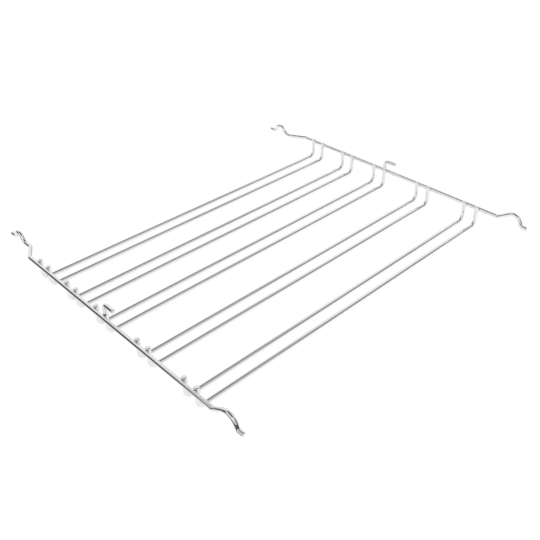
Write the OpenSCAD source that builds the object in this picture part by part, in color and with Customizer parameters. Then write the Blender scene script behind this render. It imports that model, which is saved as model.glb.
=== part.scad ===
// Oven shelf support: a welded wire rack that hangs on a side wall of an oven.
// It lies flat here, wall side up, resting on its ten runner wires.
// X runs down the oven wall, Y from the door to the back, Z away from the shelves.

/* [Uprights] */
// Distance between the axes of the two uprights
rail_span = 390; // [320:1:460]
// Thickness of the upright wire
rail_d = 4.2; // [3.8:0.1:5]
// Straight upright beyond the highest runner wire
top_reach = 15.5; // [10:0.5:30]
// Straight upright beyond the lowest runner wire
bottom_reach = 23.3; // [10:0.1:40]

/* [Runners] */
// Thickness of the runner wire
wire_d = 4; // [3.4:0.1:4.6]
// Clear gap between the two wires that hold one shelf edge
slot_gap = 11.4; // [8:0.1:16]
// Distance between levels in the upper part of the rack
upper_pitch = 49.3; // [40:0.1:60]
// Distance between levels in the lower part of the rack
lower_pitch = 62.4; // [50:0.1:75]
// Depth of the runner wires below the upright axes
runner_drop = 18; // [15:0.1:26]
// Bend radius where a runner turns up into its leg
leg_bend_r = 6; // [4:0.5:9]
// Height of the leg ends above the upright axes
leg_top = 4; // [3:0.1:8]

/* [Welds] */
// Depth that each leg is pressed into its upright
weld_sink = 0.9; // [0.4:0.1:1.2]
// Thickness of the leg where the weld has swollen it
weld_head_d = 4.7; // [4.7:0.1:5.4]
// Length of the swollen leg below the upright axis
weld_head_drop = 2.6; // [1.5:0.1:4]
// Length over which the swelling tapers back to the wire
weld_taper = 1.4; // [0.6:0.1:2.5]

/* [Hooks] */
// Height of the hook arms above the upright axes
hook_rise = 13.5; // [11:0.1:18]
// Reach of the hook arms from their legs
hook_reach = 15; // [11:0.1:22]
// Bend radius of the hooks
hook_bend_r = 4.5; // [3:0.1:6]

/* [Top ends] */
// Length over which the upright steps inward
step_run = 17; // [14:0.1:24]
// Inward step of the upright
step_in = 9.9; // [6:0.1:14]
// Straight stretch from the step to the foot of the hump
top_flat = 11.9; // [9:0.1:20]
// Run of the rising side of the hump
top_rise_run = 11.3; // [10:0.1:16]
// Run of the falling side of the hump
top_fall_run = 6.1; // [5:0.1:9]
// Height of the hump's corner, before it is rounded
top_hump_h = 14; // [12:0.1:17]
// Length of the top pin from its corner to its end
top_pin_length = 9.1; // [7:0.1:16]
// Bend radius of the inward step
step_bend_r = 6; // [4:0.1:8]
// Bend radius at the foot of the top hump
top_foot_r = 7.9; // [5:0.1:9]
// Bend radius over the crest of the top hump
top_crest_r = 7; // [5:0.1:8]

/* [Bottom ends] */
// Run of the rising side of the bottom hump
bottom_rise_run = 20.6; // [18:0.1:26]
// Run of the falling side of the bottom hump
bottom_fall_run = 6.7; // [5:0.1:9]
// Height of the bottom hump's corner, before it is rounded
bottom_hump_h = 13.5; // [11:0.1:16]
// Length of the bottom pin from its corner to its end
bottom_pin_length = 6.4; // [5:0.1:14]
// Bend radius at the foot of the bottom hump
bottom_foot_r = 5; // [4:0.1:8]
// Bend radius over the crest of the bottom hump
bottom_crest_r = 9; // [6:0.1:10]

/* [Pins] */
// Depth of the pin axes below the upright axes
pin_drop = 0.8; // [0:0.1:2]
// Bend radius where a hump turns into its pin
pin_bend_r = 3; // [2.8:0.1:4.2]
// Rounding of every cut wire end
end_round = 0.8; // [0.3:0.1:1.2]

/* [Hidden] */
$fn = 72;

// Straight wire that is always left between two bends
shortest_straight = 0.2;

// A bend draws the wire out a little, and the straights reach into it by the lap
bend_thinning = 0.02;
bend_lap = 0.05;

// Stations along X, counted from the highest runner wire
wire_step = slot_gap + wire_d;
level_3_x = 2 * upper_pitch;
level_1_x = level_3_x + 2 * lower_pitch;
last_wire_x = level_1_x + wire_step;
step_start_x = -top_reach;
step_end_x = step_start_x - step_run;
top_foot_x = step_end_x - top_flat;
top_crest_x = top_foot_x - top_rise_run;
top_corner_x = top_crest_x - top_fall_run;
top_end_x = top_corner_x - top_pin_length;
bottom_foot_x = last_wire_x + bottom_reach;
bottom_crest_x = bottom_foot_x + bottom_rise_run;
bottom_corner_x = bottom_crest_x + bottom_fall_run;
bottom_end_x = bottom_corner_x + bottom_pin_length;

// The origin is under the middle of the rack, on the surface it lies on
middle_x = (top_end_x + bottom_end_x) / 2;
runner_z = wire_d / 2;
rail_z = runner_z + runner_drop;
rail_y = rail_span / 2;
leg_y = rail_y - (rail_d + wire_d) / 2 + weld_sink;

// Directions and turns along a wire's corner points
function unit(v) = v / norm(v);
function heading(points, i) = unit(points[i + 1] - points[i]);
function turn(points, i) = acos(heading(points, i - 1) * heading(points, i));
function turn_axis(points, i) = unit(cross(heading(points, i - 1), heading(points, i)));

// The roll about the wire from one bend's plane to the next one's
function roll(points, i) = i < 2 ? 0 : atan2(
  cross(turn_axis(points, i - 1), turn_axis(points, i)) * heading(points, i - 1),
  turn_axis(points, i - 1) * turn_axis(points, i)
);

// The length that a bend takes from the straights on both of its sides
function is_end(points, i) = i == 0 || i == len(points) - 1;
function tangent(points, radii, i) = is_end(points, i) ? 0 : radii[i] * tan(turn(points, i) / 2);

// A bend shrinks where a straight is too short for the bends at both of its ends
function room(points, radii, i) =
  (norm(points[i + 1] - points[i]) - shortest_straight)
  / (tangent(points, radii, i) + tangent(points, radii, i + 1));
function fitted(points, radii) = [
  for (i = [0 : len(points) - 1])
    is_end(points, i) ? 0 : radii[i] * min(1, room(points, radii, i - 1), room(points, radii, i))
];

// Moves a solid so that its X, Y and Z axes lie along three given directions
module placed(x_dir, y_dir, z_dir, origin) {
  multmatrix([
    [x_dir.x, y_dir.x, z_dir.x, origin.x],
    [x_dir.y, y_dir.y, z_dir.y, origin.y],
    [x_dir.z, y_dir.z, z_dir.z, origin.z],
    [0, 0, 0, 1]
  ]) children();
}

// The last stretch of a cut wire, with its edge rounded
module wire_end(d, length) {
  rotate_extrude() {
    square([d / 2, length - end_round]);
    square([d / 2 - end_round, length]);
    intersection() {
      translate([d / 2 - end_round, length - end_round]) circle(end_round, $fn = 32);
      translate([0, length - end_round]) square([d / 2, end_round]);
    }
  }
}

// Bent wire that starts along +Z and turns towards +X
module wire_bend(d, r, angle) {
  placed([-1, 0, 0], [0, 0, 1], [0, 1, 0], [r, 0, 0])
    rotate_extrude(angle = angle)
      translate([r, 0]) circle((d - bend_thinning) / 2);
}

// The wire from its straight i to its cut end, laid from the end of the last bend as a
// bending machine feeds, rolls and turns it
module wire_from(d, points, radii, i) {
  length = norm(points[i + 1] - points[i]) - tangent(points, radii, i) - tangent(points, radii, i + 1);
  lap = i == 0 ? 0 : bend_lap;
  if (i == len(points) - 2) {
    translate([0, 0, -lap]) wire_end(d, length + lap);
  } else {
    r = radii[i + 1];
    angle = turn(points, i + 1);
    translate([0, 0, -lap]) cylinder(h = length + lap + bend_lap, d = d);
    translate([0, 0, length]) rotate([0, 0, roll(points, i + 1)]) {
      wire_bend(d, r, angle);
      translate([r, 0, 0]) rotate([0, angle, 0]) translate([-r, 0, 0])
        wire_from(d, points, radii, i + 1);
    }
  }
}

// A wire bent along corner points, with a radius for each corner between the ends
module bent_wire(d, points, wanted_radii) {
  radii = fitted(points, wanted_radii);
  axis = turn_axis(points, 1);
  placed(cross(axis, heading(points, 0)), axis, heading(points, 0), points[0])
    wire_from(d, points, radii, 0);
}

// One upright, bent towards +Y from the middle of its straight to both of its pins
module upright() {
  middle = [(step_start_x + bottom_foot_x) / 2, 0, rail_z];
  pin_z = rail_z - pin_drop;
  bent_wire(
    rail_d,
    [
      middle,
      [step_start_x, 0, rail_z],
      [step_end_x, step_in, rail_z],
      [top_foot_x, step_in, rail_z],
      [top_crest_x, step_in, rail_z + top_hump_h],
      [top_corner_x, step_in, pin_z],
      [top_end_x, step_in, pin_z]
    ],
    [0, step_bend_r, step_bend_r, top_foot_r, top_crest_r, pin_bend_r, 0]
  );
  bent_wire(
    rail_d,
    [
      middle,
      [bottom_foot_x, 0, rail_z],
      [bottom_crest_x, 0, rail_z + bottom_hump_h],
      [bottom_corner_x, 0, pin_z],
      [bottom_end_x, 0, pin_z]
    ],
    [0, bottom_foot_r, bottom_crest_r, pin_bend_r, 0]
  );
}

// The leg where the weld has swollen it, with its swollen end cut or with the leg passing on
module weld_head(passes_on) {
  swollen = weld_head_d / 2;
  plain = wire_d / 2;
  translate([0, 0, -weld_head_drop]) cylinder(h = weld_head_drop, r = swollen);
  translate([0, 0, -weld_head_drop - weld_taper]) cylinder(h = weld_taper, r1 = plain, r2 = swollen);
  if (passes_on) {
    cylinder(h = weld_head_drop, r = swollen);
    translate([0, 0, weld_head_drop]) cylinder(h = weld_taper, r1 = swollen, r2 = plain);
  } else {
    wire_end(weld_head_d, leg_top);
  }
}

// Half of a runner wire from the middle of its run to the end of one leg
module half_runner(x, hooked) {
  middle = [x, 0, runner_z];
  low_corner = [x, leg_y, runner_z];
  if (hooked) {
    arm_z = rail_z + hook_rise;
    bent_wire(
      wire_d,
      [middle, low_corner, [x, leg_y, arm_z], [x + hook_reach, leg_y, arm_z]],
      [0, leg_bend_r, hook_bend_r, 0]
    );
  } else {
    bent_wire(wire_d, [middle, low_corner, [x, leg_y, rail_z + leg_top]], [0, leg_bend_r, 0]);
  }
  translate([x, leg_y, rail_z]) weld_head(hooked);
}

// A runner wire at a station along X, with its legs saddled onto both uprights
module runner(x, hooked = false) {
  difference() {
    union() {
      half_runner(x, hooked);
      mirror([0, 1, 0]) half_runner(x, hooked);
    }
    for (side = [-1, 1])
      translate([x - weld_head_d, side * rail_y, rail_z])
        rotate([0, 90, 0]) cylinder(h = 2 * weld_head_d, d = rail_d);
  }
}

module front_upright() {
  color("silver") translate([-middle_x, -rail_y, 0]) upright();
}

module rear_upright() {
  color("silver") mirror([0, 1, 0]) translate([-middle_x, -rail_y, 0]) upright();
}

module upper_runner(level_x) {
  color("gainsboro") runner(level_x - middle_x);
}

module lower_runner(level_x) {
  color("gainsboro") runner(level_x + wire_step - middle_x);
}

module hook_runner(level_x) {
  color("lightsteelblue") runner(level_x + wire_step - middle_x, hooked = true);
}

front_upright();
rear_upright();
upper_runner(0);  // level_5_upper_runner
lower_runner(0);  // level_5_lower_runner
upper_runner(upper_pitch);  // level_4_upper_runner
lower_runner(upper_pitch);  // level_4_lower_runner
upper_runner(level_3_x);  // level_3_upper_runner
hook_runner(level_3_x);  // level_3_hook_runner
upper_runner(level_3_x + lower_pitch);  // level_2_upper_runner
lower_runner(level_3_x + lower_pitch);  // level_2_lower_runner
upper_runner(level_1_x);  // level_1_upper_runner
lower_runner(level_1_x);  // level_1_lower_runner
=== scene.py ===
import math

import bpy
from mathutils import Matrix, Vector

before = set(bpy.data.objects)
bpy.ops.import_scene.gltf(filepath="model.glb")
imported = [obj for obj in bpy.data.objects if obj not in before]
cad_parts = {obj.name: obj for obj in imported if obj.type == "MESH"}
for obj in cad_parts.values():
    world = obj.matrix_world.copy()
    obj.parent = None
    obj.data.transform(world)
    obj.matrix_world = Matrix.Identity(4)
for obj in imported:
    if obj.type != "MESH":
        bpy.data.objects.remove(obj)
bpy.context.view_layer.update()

# The camera's place in metres, and the directions of the picture's right and down edges
CAMERA_PLACE = (0.437277, -0.408135, 0.397622)
PICTURE_RIGHT = Vector((0.6924776, 0.7213744, -0.0096823))
PICTURE_DOWN = Vector((0.4123919, -0.4068131, -0.8151294))
LENS_MM = 46.0132
SENSOR_MM = 36
NEAR_CLIP = 0.01

# The floor, and a bright patch on it that only the plate reflects, in metres: a painted reflection, with
# painted shade past its edges
FLOOR_RADIUS = 6.0
PAINTED_REFLECTION_X = (-0.7, 0.22)
PAINTED_REFLECTION_Y = (-0.235, 0.7)
PAINTED_REFLECTION_X_FADE = 0.02
PAINTED_REFLECTION_Y_FADE = 0.015

# The floor's paint and glow, for the camera, for the plate and for all other light
PAINT_SEEN, GLOW_SEEN = 0.14, 0.88
PAINT_REFLECTED, GLOW_REFLECTED = 0.25, 0.8
PAINT_ELSE = 0.5
# Painted shade: past the patch's edges the plate sees the floor's paint and glow cut to this share
PAINTED_SHADE_PAST_EDGES = 0.1

# The studio that the plate reflects. Bearings are in degrees from +X to +Y, their fade in radians
DIMMEST = 0.12
RING = 0.85
RIGHT_GAP = (32, 62)
RIGHT_DIM = (-30, 30)
RIGHT_DIM_SHARE = 0.5
FRONT_GAP = (-162, -126)
REAR_GAP = (80, 126)
BEARING_FADE = 0.08

# Heights on the studio's dome, as the sine of the angle above the floor
DARK_OVERHEAD = (0.76, 0.86)
GAP_TOP = (0.56, 0.74)
FRONT_GAP_TOP = (0.56, 0.72)
REAR_GAP_TOP = (0.14, 0.3)


class Link:
    """A shader socket that can be used in Python expressions."""

    def __init__(self, tree, socket):
        self.tree = tree
        self.socket = socket

    def node(self, kind, settings=None, numbered=(), **named):
        """Any other node of this tree: its type, its settings, and its sockets' values or links."""
        made = self.tree.nodes.new(kind)
        for name, value in (settings or {}).items():
            setattr(made, name, value)
        wanted = [(made.inputs[place], value) for place, value in enumerate(numbered)]
        wanted += [(made.inputs[name], value) for name, value in named.items()]
        for socket, value in wanted:
            if isinstance(value, Link):
                self.tree.links.new(value.socket, socket)
            else:
                socket.default_value = value
        return made

    def out(self, made, which=0):
        """One output of a node, as a link."""
        return Link(self.tree, made.outputs[which])

    def maths(self, operation, *values):
        return self.out(self.node("ShaderNodeMath", {"operation": operation}, values))

    def __add__(self, other):
        return self.maths("ADD", self, other)

    __radd__ = __add__

    def __sub__(self, other):
        return self.maths("SUBTRACT", self, other)

    def __rsub__(self, other):
        return self.maths("SUBTRACT", other, self)

    def __mul__(self, other):
        return self.maths("MULTIPLY", self, other)

    __rmul__ = __mul__

    def smooth(self, low, high):
        """0 at low and 1 at high, with soft ends."""
        settings = {"interpolation_type": "SMOOTHSTEP"}
        return self.out(self.node("ShaderNodeMapRange", settings, (self, low, high, 0.0, 1.0)))

    def band(self, low, high, fade):
        """1 between low and high, and 0 outside."""
        return self.smooth(low - fade, low + fade) * (1 - self.smooth(high - fade, high + fade))


def start(tree):
    """The emptied tree's first link, from which all others are made."""
    tree.nodes.clear()
    return Link(tree, None)


# Finishes

def bright_plate():
    """Chrome plate over drawn wire, with the wire's faint ripple."""
    plate = bpy.data.materials.new("bright_plate")
    plate.use_nodes = True
    at = start(plate.node_tree)
    where = at.out(at.node("ShaderNodeTexCoord"), "Object")
    ripple = at.out(at.node("ShaderNodeTexNoise", Vector=where, Scale=260.0, Detail=3.0), "Fac")
    bump = at.out(at.node("ShaderNodeBump", Strength=0.05, Distance=0.0002, Height=ripple))
    metal = {"Base Color": (0.80, 0.80, 0.80, 1), "Metallic": 1.0, "Roughness": 0.06}
    surface = at.out(at.node("ShaderNodeBsdfPrincipled", **metal, Normal=bump))
    at.node("ShaderNodeOutputMaterial", Surface=surface)
    return plate


def plate_wires():
    """Gives every wire of the rack its plate."""
    plate = bright_plate()
    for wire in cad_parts.values():
        wire.data.materials.clear()
        wire.data.materials.append(plate)


# Floor, surroundings and camera

def white_floor_and_painted_reflection():
    """White to the camera with a faint shadow. The plate sees a painted reflection on it: a bright
    patch, with painted shade past its edges.
    """
    paper = bpy.data.materials.new("white_floor_and_painted_reflection")
    paper.use_nodes = True
    at = start(paper.node_tree)
    path = at.node("ShaderNodeLightPath")
    seen = at.out(path, "Is Camera Ray")
    reflected = at.out(path, "Is Glossy Ray")
    place = at.node("ShaderNodeSeparateXYZ", Vector=at.out(at.node("ShaderNodeTexCoord"), "Object"))
    # Mask of the painted reflection: the patch that only the plate sees, with soft edges
    painted_reflection_across = at.out(place, "X").band(*PAINTED_REFLECTION_X, PAINTED_REFLECTION_X_FADE)
    painted_reflection_along = at.out(place, "Y").band(*PAINTED_REFLECTION_Y, PAINTED_REFLECTION_Y_FADE)
    # Painted reflection for the plate only: bright on the patch, painted shade past its edges
    painted_reflection = painted_reflection_across * painted_reflection_along * (1 - PAINTED_SHADE_PAST_EDGES) + PAINTED_SHADE_PAST_EDGES
    paint = seen * PAINT_SEEN + reflected * painted_reflection * PAINT_REFLECTED + (1 - seen - reflected) * PAINT_ELSE
    glow = seen * GLOW_SEEN + reflected * painted_reflection * GLOW_REFLECTED
    lit = at.out(at.node("ShaderNodeBsdfDiffuse", Color=paint))
    glowing = at.out(at.node("ShaderNodeEmission", Color=(1, 1, 1, 1), Strength=glow))
    both = at.out(at.node("ShaderNodeAddShader", numbered=(lit, glowing)))
    at.node("ShaderNodeOutputMaterial", Surface=both)
    return paper


def floor():
    """The ground that the rack lies on."""
    bpy.ops.object.select_all(action="DESELECT")
    bpy.ops.mesh.primitive_circle_add(vertices=96, radius=FLOOR_RADIUS, fill_type="NGON")
    ground = bpy.context.object
    ground.name = "floor"
    ground.data.materials.append(white_floor_and_painted_reflection())


def surroundings():
    """White to the camera. The plate sees soft light all round, with gaps in it and dark overhead."""
    world = bpy.data.worlds.new("studio")
    bpy.context.scene.world = world
    world.use_nodes = True
    at = start(world.node_tree)
    reflected = at.out(at.node("ShaderNodeLightPath"), "Is Glossy Ray")
    way = at.node("ShaderNodeSeparateXYZ", Vector=at.out(at.node("ShaderNodeTexCoord"), "Generated"))
    up = at.out(way, "Z")
    bearing = at.maths("ARCTAN2", at.out(way, "Y"), at.out(way, "X"))

    def gap(bearings, top):
        """1 between two bearings, below a soft top."""
        first, last = (math.radians(degrees) for degrees in bearings)
        return bearing.band(first, last, BEARING_FADE) * (1 - up.smooth(*top))

    lit = 1 - up.smooth(*DARK_OVERHEAD)
    lit = lit * (1 - gap(RIGHT_GAP, GAP_TOP))
    lit = lit * (1 - gap(RIGHT_DIM, GAP_TOP) * RIGHT_DIM_SHARE)
    lit = lit * (1 - gap(FRONT_GAP, FRONT_GAP_TOP))
    lit = lit * (1 - gap(REAR_GAP, REAR_GAP_TOP))
    strength = reflected * (lit * RING + DIMMEST) + (1 - reflected)
    back = at.out(at.node("ShaderNodeBackground", Color=(1, 1, 1, 1), Strength=strength))
    at.node("ShaderNodeOutputWorld", Surface=back)


def photo_camera():
    """The camera at the photograph's viewpoint."""
    lens = bpy.data.cameras.new("camera")
    lens.sensor_fit = "HORIZONTAL"
    lens.sensor_width = SENSOR_MM
    lens.lens = LENS_MM
    lens.clip_start = NEAR_CLIP
    camera = bpy.data.objects.new("camera", lens)
    ahead = PICTURE_RIGHT.cross(PICTURE_DOWN)
    turn = Matrix((PICTURE_RIGHT, -PICTURE_DOWN, -ahead)).transposed().to_4x4()
    camera.matrix_world = Matrix.Translation(CAMERA_PLACE) @ turn
    bpy.context.collection.objects.link(camera)
    bpy.context.scene.camera = camera


plate_wires()
floor()
surroundings()
photo_camera()
bpy.context.scene.view_settings.view_transform = "Standard"
